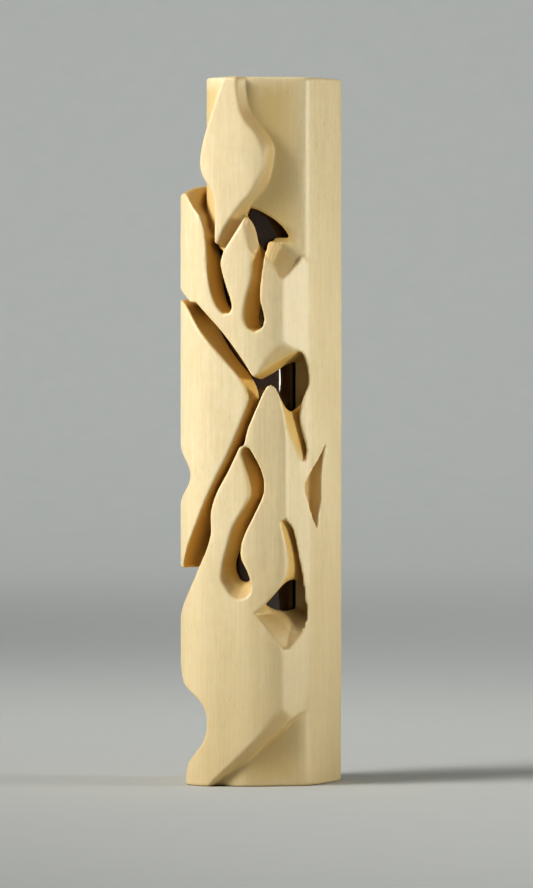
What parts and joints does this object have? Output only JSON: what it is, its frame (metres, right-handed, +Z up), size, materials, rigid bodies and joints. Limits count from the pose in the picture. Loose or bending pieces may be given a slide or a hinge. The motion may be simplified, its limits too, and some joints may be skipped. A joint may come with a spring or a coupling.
{
  "type": "mezuzah case",
  "caption": "Pierced and carved hardwood doorpost case of D section with a flat back, holding a rolled parchment in a glossy tube that draws out of the top under a plug.",
  "frame": {"origin": "middle of the base's bounding box, on the surface that the case stands on", "axes": "+Z up along the case towards the plug, +Y out of the flat back towards the doorpost, +X to the right seen from the front"},
  "size_m": [0.0256, 0.021, 0.12],
  "materials": {
    "case_wood": "pale close-grained wood, carved and waxed",
    "plug_wood": "pale close-grained wood, turned and waxed",
    "plug_cork": "fine cork",
    "tube_glass": "dark brown, polished",
    "pad_felt": "brown felt",
    "parchment": "scraped parchment",
    "wrap_paper": "thin waxed paper",
    "tie_linen": "woven linen tape",
    "plate_brass": "brushed",
    "screw_brass": "bright"
  },
  "bodies": {
    "case": {"carved_case": "case_wood", "hanger_plate_top": "plate_brass", "hanger_plate_bottom": "plate_brass", "hanger_screws": "screw_brass", "seat_pad": "pad_felt"},
    "tube": {"inner_tube": "tube_glass"},
    "plug": {"top_plug": "plug_wood", "plug_sleeve": "plug_cork"},
    "scroll": {"scroll": "parchment", "scroll_wrap": "wrap_paper", "scroll_tie": "tie_linen"}
  },
  "joints": [
    {"name": "tube_slide", "type": "slide", "parent": "case", "child": "tube", "axis": [0, 0, 1], "range_m": [0, 0.112]},
    {"name": "plug_lift", "type": "slide", "parent": "tube", "child": "plug", "axis": [0, 0, 1], "range_m": [0, 0.112]},
    {"name": "scroll_draw", "type": "slide", "parent": "tube", "child": "scroll", "axis": [0, 0, 1], "range_m": [0, 0.1065]}
  ],
  "couplings": [
    {"joint": "scroll_draw", "follows": "plug_lift", "ratio": 0.95}
  ]
}
